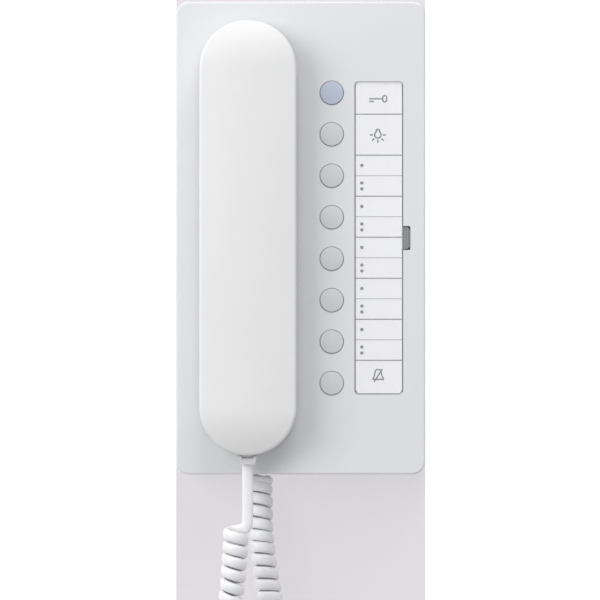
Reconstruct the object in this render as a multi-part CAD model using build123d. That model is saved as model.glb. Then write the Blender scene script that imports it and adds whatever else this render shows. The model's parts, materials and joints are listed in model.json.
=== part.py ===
"""Wall station of a house intercom: an eight-button housing, a lift-off handset and a curly cord.

All sizes are in millimetres. The origin is the middle of the wall plate's back face, midway
between the two wall screws. +X is right, +Z is up and -Y points from the wall to the person.
A rise is a distance out from the wall, so a point at rise r lies at Y = -r.
"""
from build123d import *
import math
import numpy
import os

# Housing
body_width = 106.0
body_height = 201.0
body_corner = 5.6
face_rise = 27.0
face_round = 0.9
cover_wall = 2.4
cover_lift = 0.5
gap = 0.3
overrun = 1.0

# Wall plate
plate_thick = 2.2
rim_width = 1.6
rim_rise = 4.0
wall_screw_spacing = 60.0
wall_screw_hole = 4.4
wall_screw_pad = 11.0
wall_screw_pad_rise = 3.0
cable_window = 18.0
cable_window_side_margin = 21.0
cable_window_low_margin = 27.5
post_radius = 3.2
post_side_margin = 10.0
post_end_margin = 18.5
post_notch_gap = 10.0
post_low_margin = 14.5

# Catch that holds the cover's top edge
hook_x = 25.0
hook_width = 10.0
hook_thick = 1.4
ledge_rise = 8.0
ledge_thick = 1.5
ledge_height = 1.6

# Screw in the cover's underside
cover_screw_side_margin = 30.0
cover_screw_rise = 7.4
cover_boss_width = 8.0
cover_boss_height = 9.0
screw_radius = 1.45
screw_pilot = 1.5
screw_head_radius = 2.8
screw_head_height = 1.6
screw_drive_width = 0.8
cover_screw_length = 9.0
cover_screw_sink = 1.7

# Circuit board
board_back = 13.0
board_thick = 1.6
board_side_margin = 3.6
board_top_margin = 8.0
board_low_margin = 4.2
board_corner = 2.0
board_notch_width = 32.0
board_notch_height = 44.5
access_hole = 5.0
board_screw_length = 7.0

# Pieces on the board
terminal_height = 7.4
terminal_depth = 10.0
terminal_pitch = 5.0
terminal_count = 4
terminal_wall = 1.0
terminal_side_margin = 19.0
terminal_entry = 1.6
terminal_screw_radius = 1.7
terminal_screw_length = 5.0
terminal_screw_sink = 0.6
ringer_radius = 11.5
ringer_height = 8.6
ringer_mouth = 2.5
ringer_chamber = 3.0
chip_size = 10.0
chip_height = 1.4
chip_side_margin = 20.0
chip_z = -14.0
capacitor_radius = 4.0
capacitor_height = 6.8
capacitor_side_margin = 17.0
capacitor_pitch = 10.0
capacitor_z = 24.0
capacitor_count = 3
capacitor_round = 0.6

# Push buttons, their key switches and the travel
button_x_share = 0.12453
button_pitch = 17.63
button_names = ["door", "light", "call_1", "call_2", "call_3", "call_4", "call_5", "mute"]
button_radius = 4.97
button_play = 0.22
button_proud = 0.7
button_edge = 0.35
button_crown = 0.35
button_skirt = 2.6
button_flange_radius = 6.2
button_flange_thick = 1.2
button_stem_radius = 2.2
button_travel = 1.2
key_size = 6.0
key_height = 3.8
key_plunger_radius = 1.7
key_plunger_show = 1.5
key_play = 0.05

# Label field to the right of the buttons
label_x_share = 0.31321
label_width_share = 0.18726
label_height = 133.0
label_corner = 1.6
label_play = 0.4
label_end_play = 0.08
label_thick = 0.25
label_margin = 0.05
label_recess = 1.0
label_sink = 0.1
label_pad_wall = 2.0
label_pad_border = 2.2

# Catch at the label window's right edge
catch_width = 3.5
catch_height = 10.2
catch_play = 0.35
catch_depth = 3.2
catch_sink = 0.4
catch_pocket_round = 0.6
catch_round = 1.5
catch_rib_count = 4
catch_rib_depth = 0.5

# Handset
handset_x_share = -0.21038
handset_width_share = 0.38679
handset_end_margin = 8.5
handset_back = 28.5
handset_front = 46.0
handset_wall = 2.0
handset_split = 33.5
handset_edge = 1.4
handset_back_edge = 1.2
handset_end_run = 19.5
handset_end_radius = 45.0
handset_crown_radius = 130.0
boss_inset = 3.1
boss_depth = 8.3
boss_wall = 1.8
boss_round = 1.5
sound_hole = 0.9
sound_ring = 4.0
sound_hole_count = 6
mouth_slot_length = 6.0
mouth_slot_width = 1.2
mouth_slot_pitch = 3.0

# Wells in the cover that take the two bosses
well_play = 0.6
well_wall = 1.6
well_clear = 0.7

# Pieces inside the handset
capsule_play = 0.6
capsule_height = 7.6
capsule_lip = 1.2
gasket_thick = 1.2
gasket_width = 3.0
boot_radius = 6.6
boot_height = 7.0
microphone_radius = 4.8
microphone_height = 5.6
boot_ring_wall = 1.2
boot_ring_height = 3.0
handset_board_thick = 1.2
handset_board_width = 24.0
handset_board_length = 26.0
handset_post_gap = 9.6
handset_post_radius = 3.0
handset_screw_length = 11.0
wire_radius = 0.6
wire_offset = 6.0
wire_pitch = 2.4
wire_bend = 2.2
wire_lift = 4.0
wire_run_in = 4.0

# Hook switch plunger
hook_well_gap = 20.0
plunger_radius = 3.0
plunger_play = 0.08
plunger_foot_radius = 4.6
plunger_foot_thick = 1.5
plunger_travel = 3.0
plunger_round = 0.8
hook_switch_width = 12.0
hook_switch_height = 9.0
hook_switch_rise = 4.4
hook_pin_radius = 1.2

# Sound slots in the cover above the ringer
slot_length = 14.0
slot_width = 1.6
slot_pitch = 3.4
slot_count = 5

# Modular jacks and plugs
jack_width = 11.0
jack_depth = 8.0
jack_length = 11.0
plug_width = 7.8
plug_depth = 6.2
plug_insert = 11.0
plug_grip = 3.4
plug_grip_taper = 0.9
plug_lip = 0.5
plug_play = 0.2
plug_end_play = 0.4
plug_tongue_width = 4.2
plug_channel_play = 0.4
plug_slot = 0.9
plug_slot_depth = 2.2
plug_groove = 0.35
plug_groove_count = 2
plug_tongue_thick = 0.9
plug_tongue_gap = 0.9
jack_setback = 3.4
housing_socket_recess = 4.4
housing_cord_offset = 1.3
socket_play = 0.5

# Curly cord
wire_diameter = 3.6
coil_radius = 3.7
coil_pitch = 5.3
coil_drop = 6.0
coil_lead = 20.7
handset_cord_offset = -0.2
handset_axis_side = 4.9
handset_axis_out = 3.7
housing_axis_side = 4.1
housing_axis_back = 1.5

# Axis of the curls, from under the handset round the hanging loop to under the housing. Each point
# is given from the middle of the housing's lower edge at the wall. The first and the last point
# are worked out from the plugs, further down.
cord_axis_points = [
    (-27.8, -39.0, -35.5),
    (-28.9, -36.6, -51.5),
    (-31.0, -32.4, -69.5),
    (-33.6, -27.2, -88.5),
    (-36.0, -22.0, -108.5),
    (-36.2, -17.8, -128.5),
    (-28.6, -14.8, -145.5),
    (-13.4, -12.6, -149.5),
    (0.6, -11.4, -139.0),
    (3.4, -10.6, -119.5),
    (-0.6, -10.0, -99.5),
    (-5.2, -9.4, -79.5),
    (-9.6, -8.8, -59.5),
    (-13.6, -8.0, -39.5),
    (-16.4, -7.2, -21.5),
]
axis_steps = 60
arc_steps = 5

# Worked-out sizes that several pieces share
inner_width = body_width - 2 * cover_wall
inner_height = body_height - 2 * cover_wall
inner_corner = body_corner - cover_wall
face_inner = face_rise - cover_wall
plate_width = inner_width - 2 * gap
plate_height = inner_height - 2 * gap
board_front = board_back + board_thick
board_notch_x = body_width / 2 - board_notch_width
board_notch_top = board_notch_height - body_height / 2
cable_window_x = body_width / 2 - cable_window_side_margin
cable_window_z = cable_window_low_margin - body_height / 2
cover_screw_x = body_width / 2 - cover_screw_side_margin
post_side = body_width / 2 - post_side_margin
post_top = body_height / 2 - post_end_margin
terminal_x = body_width / 2 - terminal_side_margin
chip_x = body_width / 2 - chip_side_margin
capacitor_x = body_width / 2 - capacitor_side_margin
button_x = body_width * button_x_share
label_x = body_width * label_x_share
label_width = body_width * label_width_share
handset_x = body_width * handset_x_share
handset_width = body_width * handset_width_share
handset_height = body_height - 2 * handset_end_margin
handset_end = handset_width / 2
handset_reach = handset_height / 2
handset_flat_end = handset_reach - handset_end_run
boss_z = handset_reach - handset_end
boss_radius = handset_end - boss_inset
capsule_radius = boss_radius - boss_wall - capsule_play
handset_post_z = boss_z - boss_radius - handset_post_gap
handset_cord_x = handset_x + handset_cord_offset
housing_cord_x = handset_x + housing_cord_offset
boss_tip = handset_back - boss_depth
well_radius = boss_radius + well_play
well_floor = boss_tip - well_clear
hook_z = boss_z - well_radius - hook_well_gap
button_top = face_rise + button_proud
button_flange_top = face_inner - gap
button_flange_low = button_flange_top - button_flange_thick
key_top = board_front + key_height
stem_low = key_top + key_plunger_show
label_floor = face_rise - label_recess
label_pad_back = face_inner - label_pad_wall
label_edge = label_x + label_width / 2
catch_floor = face_rise - catch_depth
grip_floor = handset_back + handset_wall
handset_board_low = grip_floor + gap
handset_board_top = handset_board_low + handset_board_thick
handset_plug_rise = handset_board_top + jack_depth / 2
housing_plug_rise = board_back - jack_depth / 2
handset_shoulder = -handset_reach - plug_lip
housing_shoulder = housing_socket_recess - body_height / 2
handset_plug_end = handset_shoulder - plug_grip
housing_plug_end = housing_shoulder - plug_grip
coil_start_z = handset_plug_end - coil_lead
board_posts = [
    (-post_side, post_top),
    (post_side, post_top),
    (-post_side, -post_top),
    (board_notch_x - post_notch_gap, post_low_margin - body_height / 2),
]


def slab(profile, low, high):
    """A profile drawn in X and Z, carried from one rise to another."""
    return extrude(Plane.XZ.offset(low) * profile, amount=high - low)


def disc(x, z, radius, low, high):
    """A cylinder that stands out from the wall."""
    return slab(Pos(x, z) * Circle(radius), low, high)


def block(x, z, width, height, low, high):
    """A box given by its middle in X and Z and its two rises."""
    return slab(Pos(x, z) * Rectangle(width, height), low, high)


def rounded(x, z, width, height, corner, low, high):
    """A box with rounded corners in the front view."""
    return slab(Pos(x, z) * RectangleRounded(width, height, corner), low, high)


def pillar(x, rise, width, depth, z_low, z_high):
    """A box that runs up and down, given by its middle in X and its middle rise."""
    return Pos(x, -rise, (z_low + z_high) / 2) * Box(width, depth, z_high - z_low)


def upright(x, rise, radius, z_low, z_high):
    """A cylinder that runs up and down."""
    return Pos(x, -rise, (z_low + z_high) / 2) * Cylinder(radius, z_high - z_low)


def front_edges(solid):
    """Edges of the outline that lies farthest from the wall."""
    return solid.faces().sort_by(Axis.Y)[0].outer_wire().edges()


def back_edges(solid):
    """Edges of the outline that lies nearest the wall."""
    return solid.faces().sort_by(Axis.Y)[-1].outer_wire().edges()


def machine_screw(x, z, head_low, length):
    """A pan-head screw driven toward the wall, with a cross recess."""
    screw = disc(x, z, screw_head_radius, head_low, head_low + screw_head_height)
    screw = fillet(front_edges(screw), screw_head_height / 2)
    screw += disc(x, z, screw_radius, head_low - length, head_low)
    recess_low = head_low + screw_head_height / 2
    recess_high = head_low + screw_head_height + overrun
    for width, height in ((screw_head_radius, screw_drive_width), (screw_drive_width, screw_head_radius)):
        screw -= block(x, z, width, height, recess_low, recess_high)
    return screw


def button_z(index):
    """Height of one button, counted from the top of the row."""
    return button_pitch * ((len(button_names) - 1) / 2 - index)


def wall_plate():
    """Plate that is screwed to the wall, with board posts, cover catch and cable window."""
    plate_corner = inner_corner - gap
    plate = rounded(0, 0, plate_width, plate_height, plate_corner, 0, plate_thick)
    rim = rounded(0, 0, plate_width, plate_height, plate_corner, 0, rim_rise)
    rim_corner = plate_corner - rim_width
    rim -= rounded(0, 0, plate_width - 2 * rim_width, plate_height - 2 * rim_width,
                   rim_corner, -overrun, rim_rise + overrun)
    plate += rim
    for side in (-1, 1):
        z = side * wall_screw_spacing / 2
        plate += disc(0, z, wall_screw_pad / 2, 0, wall_screw_pad_rise)
        plate -= disc(0, z, wall_screw_hole / 2, -overrun, wall_screw_pad_rise + overrun)
    for x, z in board_posts:
        plate += disc(x, z, post_radius, 0, board_back)
        plate -= disc(x, z, screw_pilot, plate_thick, board_back + overrun)
    plate += cover_screw_boss()
    for side in (-1, 1):
        plate += cover_hook(side * hook_x)
    plate -= block(cable_window_x, cable_window_z, cable_window, cable_window,
                   -overrun, plate_thick + overrun)
    return plate


def cover_screw_boss():
    """Block above the lower edge that the cover screw bites into."""
    low = -plate_height / 2
    rise_top = cover_screw_rise + cover_boss_width / 2
    boss = pillar(cover_screw_x, rise_top / 2, cover_boss_width, rise_top, low, low + cover_boss_height)
    boss -= upright(cover_screw_x, cover_screw_rise, screw_pilot, low - overrun,
                    low + cover_boss_height + overrun)
    return boss


def cover_hook(x):
    """Upright tongue at the top edge whose nose lies in front of the cover's ledge."""
    nose_low = ledge_rise + ledge_thick + gap
    nose_high = nose_low + hook_thick
    stem_top = inner_height / 2 - ledge_height - gap
    stem = block(x, stem_top - hook_thick / 2, hook_width, hook_thick, 0, nose_high)
    nose_top = inner_height / 2 - gap
    nose = block(x, (stem_top - hook_thick + nose_top) / 2, hook_width,
                 nose_top - stem_top + hook_thick, nose_low, nose_high)
    return stem + nose


def well(z):
    """Cup behind the cover's face that one of the handset's bosses sits in."""
    return disc(handset_x, z, well_radius + well_wall, well_floor - well_wall, face_inner + cover_wall / 2)


def front_cover():
    """Moulded cover with wells, button holes, label recess and socket opening."""
    cover = rounded(0, 0, body_width, body_height, body_corner, cover_lift, face_rise)
    cover = fillet(front_edges(cover), face_round)
    cover -= rounded(0, 0, inner_width, inner_height, inner_corner, cover_lift - overrun, face_inner)
    for side in (-1, 1):
        cover += well(side * boss_z)
        cover += cover_ledge(side * hook_x)
    for side in (-1, 1):
        cover -= disc(handset_x, side * boss_z, well_radius, well_floor, face_rise + overrun)
    cover += label_pad()
    cover -= rounded(label_x, 0, label_width + 2 * label_play, label_height + 2 * label_end_play,
                     label_corner + label_end_play, label_floor, face_rise + overrun)
    cover -= catch_pocket()
    for index in range(len(button_names)):
        cover -= disc(button_x, button_z(index), button_radius + button_play,
                      face_inner - overrun, face_rise + overrun)
    cover -= disc(handset_x, hook_z, plunger_radius + plunger_play, face_inner - overrun,
                  face_rise + overrun)
    for index in range(slot_count):
        z = slot_pitch * (index - (slot_count - 1) / 2)
        cover -= slab(Pos(handset_x, z) * SlotOverall(slot_length, slot_width),
                      face_inner - overrun, face_rise + overrun)
    cover -= pillar(housing_cord_x, housing_plug_rise, plug_width + 2 * socket_play,
                    plug_depth + 2 * socket_play, -body_height / 2 - overrun,
                    -inner_height / 2 + overrun)
    cover -= upright(cover_screw_x, cover_screw_rise, screw_radius + gap / 2,
                     -body_height / 2 - overrun, -inner_height / 2 + overrun)
    cover -= upright(cover_screw_x, cover_screw_rise, screw_head_radius + gap,
                     -body_height / 2 - overrun, -body_height / 2 + cover_screw_sink)
    return cover


def cover_ledge(x):
    """Ledge under the cover's top wall that catches behind one hook of the wall plate."""
    root = cover_wall / 2
    z = (inner_height + root - ledge_height) / 2
    return block(x, z, hook_width, ledge_height + root, ledge_rise, ledge_rise + ledge_thick)


def label_pad():
    """Thicker wall behind the label recess and the catch pocket."""
    left = label_x - label_width / 2 - label_pad_border
    right = label_edge + catch_width + label_pad_border
    return block((left + right) / 2, 0, right - left, label_height + 2 * label_pad_border,
                 label_pad_back, face_inner + cover_wall / 4)


def catch_pocket():
    """Pocket at the right edge of the label recess, open to it, with rounded outer corners."""
    left = label_edge - catch_pocket_round
    right = label_edge + catch_width
    return rounded((left + right) / 2, 0, right - left, catch_height, catch_pocket_round,
                   catch_floor, face_rise + overrun)


def cover_screw():
    """Screw that enters the cover's underside and bites into the wall plate's boss."""
    head_top = -body_height / 2 + cover_screw_sink
    screw = upright(cover_screw_x, cover_screw_rise, screw_head_radius,
                    head_top - screw_head_height, head_top)
    low_edge = screw.faces().sort_by(Axis.Z)[0].outer_wire().edges()
    screw = fillet(low_edge, screw_head_height / 2)
    screw += upright(cover_screw_x, cover_screw_rise, screw_radius, head_top,
                     head_top + cover_screw_length)
    screw -= pillar(cover_screw_x, cover_screw_rise, screw_head_radius, screw_drive_width,
                    head_top - screw_head_height - overrun, head_top - screw_head_height / 2)
    return screw


def circuit_board():
    """Main board, cut away at the cable entry, with holes over the two wall screws."""
    width = inner_width - 2 * board_side_margin
    top = inner_height / 2 - board_top_margin
    low = board_low_margin - inner_height / 2
    board = rounded(0, (top + low) / 2, width, top - low, board_corner, board_back, board_front)
    board -= block(board_notch_x + board_notch_width / 2, board_notch_top - board_notch_height / 2,
                   board_notch_width, board_notch_height, board_back - overrun, board_front + overrun)
    for side in (-1, 1):
        board -= disc(0, side * wall_screw_spacing / 2, access_hole,
                      board_back - overrun, board_front + overrun)
    for x, z in board_posts:
        board -= disc(x, z, screw_radius + gap / 2, board_back - overrun, board_front + overrun)
    return board


def board_screws():
    """Four screws that hold the main board on the wall plate's posts."""
    return [machine_screw(x, z, board_front, board_screw_length) for x, z in board_posts]


def terminal_place(index):
    """Middle in X of one pole of the terminal block."""
    return terminal_x + terminal_pitch * (index - (terminal_count - 1) / 2)


def terminal_block():
    """Screw terminal for the building's wires, entered from below."""
    width = terminal_count * terminal_pitch + 2 * terminal_wall
    z = board_notch_top + terminal_depth / 2
    top = board_front + terminal_height
    body = block(terminal_x, z, width, terminal_depth, board_front, top)
    for index in range(terminal_count):
        x = terminal_place(index)
        body -= disc(x, z, terminal_screw_radius + gap / 2, top - terminal_screw_length, top + overrun)
        body -= upright(x, board_front + terminal_entry + terminal_wall, terminal_entry,
                        board_notch_top - overrun, board_notch_top + terminal_depth / 2)
    return body


def terminal_screws():
    """Clamping screws of the terminal block, sunk a little below its top."""
    z = board_notch_top + terminal_depth / 2
    top = board_front + terminal_height - terminal_screw_sink
    low = board_front + terminal_height - terminal_screw_length
    screws = []
    for index in range(terminal_count):
        x = terminal_place(index)
        screw = disc(x, z, terminal_screw_radius, low, top)
        screw -= block(x, z, 2 * terminal_screw_radius, screw_drive_width,
                       top - terminal_screw_sink, top + overrun)
        screws.append(screw)
    return screws


def ringer():
    """Round sounder whose mouth faces the slots in the cover."""
    top = board_front + ringer_height
    body = disc(handset_x, 0, ringer_radius, board_front, top)
    body = fillet(front_edges(body), ringer_mouth / 2)
    body -= disc(handset_x, 0, ringer_mouth, top - ringer_chamber, top + overrun)
    return body


def control_chip():
    """Main chip, lying on the board behind the label field."""
    return block(chip_x, chip_z, chip_size, chip_size, board_front, board_front + chip_height)


def capacitors():
    """Row of standing capacitors."""
    row = []
    for index in range(capacitor_count):
        z = capacitor_z + capacitor_pitch * index
        can = disc(capacitor_x, z, capacitor_radius, board_front, board_front + capacitor_height)
        row.append(fillet(front_edges(can), capacitor_round))
    return row


def key_switches():
    """Eight key switches on the board, one behind each button, each with its plunger bore."""
    row = []
    for index in range(len(button_names)):
        z = button_z(index)
        body = block(button_x, z, key_size, key_size, board_front, key_top)
        bore_floor = key_top - key_plunger_show - button_travel
        body -= disc(button_x, z, key_plunger_radius + key_play, bore_floor, key_top + overrun)
        row.append(body)
    return row


def key_plunger(index):
    """Plunger of one key switch, from just above its bore's floor to the button's stem."""
    return disc(button_x, button_z(index), key_plunger_radius, key_top - key_plunger_show + gap, stem_low)


def button(index):
    """Round button: a slightly domed cap, a flange behind the cover and a stem on the switch."""
    z = button_z(index)
    skirt_low = button_top - button_crown - button_skirt
    crown_low = button_top - button_crown
    cap = disc(button_x, z, button_radius, skirt_low, crown_low)
    sphere_radius = (button_radius ** 2 + button_crown ** 2) / (2 * button_crown)
    dome = Pos(button_x, sphere_radius - button_top, z) * Sphere(sphere_radius)
    cap += dome & disc(button_x, z, button_radius, crown_low, button_top + overrun)
    rim = cap.edges().filter_by(GeomType.CIRCLE).filter_by(
        lambda edge: abs(edge.center().Y + crown_low) < button_edge / 4 and edge.radius > button_radius / 2)
    cap = fillet(rim, button_edge)
    flange_top = min(skirt_low, button_flange_top)
    cap += disc(button_x, z, button_radius, flange_top, skirt_low + button_crown)
    cap += disc(button_x, z, button_flange_radius, button_flange_low, flange_top)
    cap += disc(button_x, z, button_stem_radius, stem_low, button_flange_low + button_flange_thick / 2)
    return cap


def label_inlay():
    """Paper strip that lies in the label recess under its window."""
    return rounded(label_x, 0, label_width - 2 * label_margin, label_height - 2 * label_margin,
                   label_corner - label_margin, label_floor, label_floor + label_thick)


def label_window():
    """Clear strip over the paper."""
    return rounded(label_x, 0, label_width, label_height, label_corner,
                   label_floor + label_thick, face_rise - label_sink)


def label_catch():
    """Ribbed grip at the window's right edge, joined to it face to face."""
    left = label_edge
    right = label_edge + catch_width - catch_play
    height = catch_height - 2 * catch_play
    low = catch_floor + gap
    top = face_rise - catch_sink
    tab = block((left + right) / 2, 0, right - left, height, low, top)
    corners = tab.edges().filter_by(Axis.Y).group_by(Axis.X)[-1]
    tab = fillet(corners, catch_round)
    rib = (right - left) / (2 * catch_rib_count + 1)
    for index in range(catch_rib_count):
        tab -= block(left + rib * (2 * index + 3 / 2), 0, rib, height + overrun,
                     top - catch_rib_depth, top + overrun)
    return tab


def hook_switch():
    """Switch that the plunger holds down while the handset hangs."""
    top = board_front + hook_switch_rise
    body = block(handset_x, hook_z, hook_switch_width, hook_switch_height, board_front, top)
    return body + disc(handset_x, hook_z, hook_pin_radius, top - overrun, plunger_low() - gap)


def plunger_low():
    """Rise of the plunger's foot while the handset hangs."""
    return face_inner - gap / 3 - plunger_travel - plunger_foot_thick


def hook_plunger():
    """Round pin that comes out of the cover as the handset is lifted."""
    low = plunger_low()
    tip = handset_back - gap
    pin = disc(handset_x, hook_z, plunger_radius, low, tip)
    pin = fillet(front_edges(pin), plunger_round)
    return pin + disc(handset_x, hook_z, plunger_foot_radius, low, low + plunger_foot_thick)


def stadium(inset):
    """Handset outline in the front view, drawn in by an inset."""
    return Pos(handset_x, 0) * SlotOverall(handset_height - 2 * inset, handset_width - 2 * inset, rotation=90)


def handset_front_form(inset):
    """The handset's depth behind its front face, which is crowned and bends back at both ends.

    One crowned section is carried straight along the middle and round a large arc at each end.
    """
    front = handset_front - inset
    back = overrun - handset_back
    side = handset_end + overrun
    section = Curve() + [
        ThreePointArc((handset_x - side, crown_fall(side) - front), (handset_x, -front),
                      (handset_x + side, crown_fall(side) - front)),
        Polyline((handset_x + side, crown_fall(side) - front), (handset_x + side, back),
                 (handset_x - side, back), (handset_x - side, crown_fall(side) - front)),
    ]
    face = make_face(section.edges())
    low_face = Plane.XY.offset(-handset_flat_end) * face
    form = extrude(low_face, amount=2 * handset_flat_end)
    middle = handset_end_radius - front
    for side_z, turn in ((-1, -90), (1, 90)):
        axis = Axis((handset_x, middle, side_z * handset_flat_end), (-1, 0, 0))
        form += revolve(Plane.XY.offset(side_z * handset_flat_end) * face, axis, revolution_arc=turn)
    return form


def crown_fall(side):
    """How far the crowned front face falls away at a distance from its middle."""
    return handset_crown_radius - math.sqrt(handset_crown_radius ** 2 - side ** 2)


def handset_form():
    """Both shells of the handset as one solid body with soft edges."""
    form = slab(stadium(0), handset_back, handset_front) & handset_front_form(0)
    rim = form.edges().filter_by(lambda edge: edge.center().Y < -handset_split)
    form = fillet(rim.filter_by(lambda edge: on_outline(edge)), handset_edge)
    return fillet(back_edges(form), handset_back_edge)


def on_outline(edge):
    """True for an edge that lies on the handset's outline all the way."""
    for share in (0, 1 / 2, 1):
        point = edge @ share
        z = max(abs(point.Z) - boss_z, 0)
        if math.hypot(point.X - handset_x, z) < handset_end - gap:
            return False
    return True


def handset_hollow():
    """Room inside the two shells."""
    front_limit = handset_front_form(handset_wall)
    return slab(stadium(handset_wall), grip_floor, handset_front) & front_limit


def jack_hole(x, rise, shoulder):
    """Way for a plug through the wall in front of its jack."""
    return pillar(x, rise, plug_width + 2 * plug_play, plug_depth + 2 * plug_play,
                  shoulder - 2 * overrun, shoulder + jack_setback)


def handset_shell(form, hollow):
    """Front half of the handset."""
    front = form - hollow
    front &= block(handset_x, 0, 2 * handset_width, 2 * handset_height, handset_split,
                   handset_front + overrun)
    front -= jack_hole(handset_cord_x, handset_plug_rise, handset_shoulder)
    post_low = handset_split + gap
    for side in (-1, 1):
        z = side * handset_post_z
        front += disc(handset_x, z, handset_post_radius, post_low, handset_front - handset_wall / 2)
        front -= disc(handset_x, z, screw_pilot, post_low - overrun,
                      handset_front - 2 * handset_wall)
    return front


def handset_inner_shell(form, hollow):
    """Back half of the handset, with the ear and mouth bosses and their sound holes."""
    back = form - hollow
    back &= block(handset_x, 0, 2 * handset_width, 2 * handset_height, handset_back - overrun,
                  handset_split)
    back -= jack_hole(handset_cord_x, handset_plug_rise, handset_shoulder)
    for side in (-1, 1):
        z = side * boss_z
        boss = disc(handset_x, z, boss_radius, boss_tip, handset_back + handset_wall / 2)
        back += fillet(back_edges(boss), boss_round)
        back -= disc(handset_x, z, boss_radius - boss_wall, boss_tip + boss_wall, grip_floor + overrun)
    back += boot_ring()
    back -= ear_holes()
    back -= mouth_holes()
    for side in (-1, 1):
        z = side * handset_post_z
        back += disc(handset_x, z, screw_head_radius + handset_wall, handset_back + handset_wall / 2,
                     handset_split)
        back -= disc(handset_x, z, screw_head_radius + gap, handset_back - overrun,
                     handset_back + gap + screw_head_height)
        back -= disc(handset_x, z, screw_radius + gap / 2, handset_back, handset_split + overrun)
    return back


def boot_ring():
    """Ring on the mouth boss's floor that locates the microphone's boot."""
    inner = boot_radius + gap
    low = boss_tip + boss_wall / 2
    ring = disc(handset_x, -boss_z, inner + boot_ring_wall, low, boss_tip + boss_wall + boot_ring_height)
    return ring - disc(handset_x, -boss_z, inner, low - overrun, handset_split)


def ear_holes():
    """Sound holes in front of the earpiece: one in the middle and two rings round it."""
    holes = [(0, 0)]
    for ring in (1, 2):
        for index in range(sound_hole_count * ring):
            angle = 2 * math.pi * index / (sound_hole_count * ring)
            holes.append((ring * sound_ring * math.cos(angle), ring * sound_ring * math.sin(angle)))
    return [disc(handset_x + x, boss_z + z, sound_hole, boss_tip - overrun, boss_tip + boss_wall + overrun)
            for x, z in holes]


def mouth_holes():
    """Three short slots in front of the microphone."""
    slots = []
    for index in (-1, 0, 1):
        profile = Pos(handset_x, -boss_z + index * mouth_slot_pitch) * SlotOverall(
            mouth_slot_length, mouth_slot_width)
        slots.append(slab(profile, boss_tip - overrun, boss_tip + boss_wall + overrun))
    return slots


def handset_screws():
    """Two screws that pull the inner shell against the posts of the outer one."""
    screws = []
    for side in (-1, 1):
        z = side * handset_post_z
        head_low = handset_back + gap
        head_high = head_low + screw_head_height
        screw = disc(handset_x, z, screw_head_radius, head_low, head_high)
        screw += disc(handset_x, z, screw_radius, head_high, head_high + handset_screw_length - screw_head_height)
        for width, height in ((screw_head_radius, screw_drive_width), (screw_drive_width, screw_head_radius)):
            screw -= block(handset_x, z, width, height, head_low - overrun, head_low + screw_head_height / 2)
        screws.append(screw)
    return screws


def earpiece_gasket():
    """Foam ring between the capsule and the boss's floor."""
    low = boss_tip + boss_wall
    ring = disc(handset_x, boss_z, capsule_radius, low, low + gasket_thick)
    return ring - disc(handset_x, boss_z, capsule_radius - gasket_width, low - overrun,
                       low + gasket_thick + overrun)


def earpiece_capsule():
    """Receiver capsule with a stepped rim and a vent in its back."""
    low = boss_tip + boss_wall + gasket_thick
    capsule = disc(handset_x, boss_z, capsule_radius, low, low + capsule_height / 2)
    capsule += disc(handset_x, boss_z, capsule_radius - capsule_lip, low, low + capsule_height)
    return capsule - disc(handset_x, boss_z, capsule_radius - gasket_width, low - overrun, low + capsule_lip)


def microphone_boot():
    """Soft sleeve round the microphone, open toward the slots."""
    low = boss_tip + boss_wall
    boot = disc(handset_x, -boss_z, boot_radius, low, low + boot_height)
    return boot - disc(handset_x, -boss_z, microphone_radius, low - overrun, low + microphone_height)


def microphone():
    """Microphone capsule inside its boot."""
    low = boss_tip + boss_wall
    return disc(handset_x, -boss_z, microphone_radius, low + gap, low + microphone_height)


def handset_board_edge():
    """Height of the handset board's lower edge."""
    return handset_shoulder + jack_setback


def handset_board():
    """Small board under the handset's jack."""
    z = handset_board_edge() + handset_board_length / 2
    corner = handset_board_width / 3
    return rounded(handset_cord_x, z, handset_board_width, handset_board_length, corner,
                   handset_board_low, handset_board_top)


def jack(x, rise, shoulder):
    """Modular jack whose mouth faces down."""
    mouth = shoulder + jack_setback
    body = pillar(x, rise, jack_width, jack_depth, mouth, mouth + jack_length)
    return body - pillar(x, rise, plug_width + 2 * plug_play, plug_depth + 2 * plug_play,
                         mouth - overrun, shoulder + plug_insert + plug_end_play)


def modular_plug(x, rise, shoulder):
    """Modular plug: body, locking tongue on its front, and a tapered grip below the shoulder."""
    tip = shoulder + plug_insert
    body_depth = plug_depth - plug_tongue_gap - plug_tongue_thick
    body_rise = rise - (plug_depth - body_depth) / 2
    tongue_rise = rise + (plug_depth - plug_tongue_thick) / 2
    plug = pillar(x, body_rise, plug_width, body_depth, shoulder, tip)
    plug += pillar(x, tongue_rise, plug_tongue_width, plug_tongue_thick, shoulder, tip)
    plug += pillar(x, rise, plug_tongue_width, plug_depth, tip - 2 * plug_tongue_thick, tip)
    end = shoulder - plug_grip
    top = Plane.XY.offset(shoulder) * Pos(x, -rise) * Rectangle(plug_width, plug_depth)
    low = Plane.XY.offset(end) * Pos(x, -rise) * Rectangle(
        plug_width - 2 * plug_grip_taper, plug_depth - plug_grip_taper)
    plug += loft([low.face(), top.face()], ruled=True)
    channel = plug_tongue_width + 2 * plug_channel_play
    plug -= pillar(x, rise + plug_depth / 2, channel, 2 * plug_slot_depth, shoulder - plug_slot, shoulder)
    for index in range(plug_groove_count):
        groove = shoulder - plug_slot - plug_groove * (2 * index + 1)
        plug -= pillar(x, rise + plug_depth / 2, channel, 2 * plug_groove, groove - plug_groove, groove)
    return plug


def plug_wire_rise(rise):
    """Rise at which the cord leaves a plug, in the middle of its body."""
    return rise - (plug_tongue_gap + plug_tongue_thick) / 2


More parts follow.
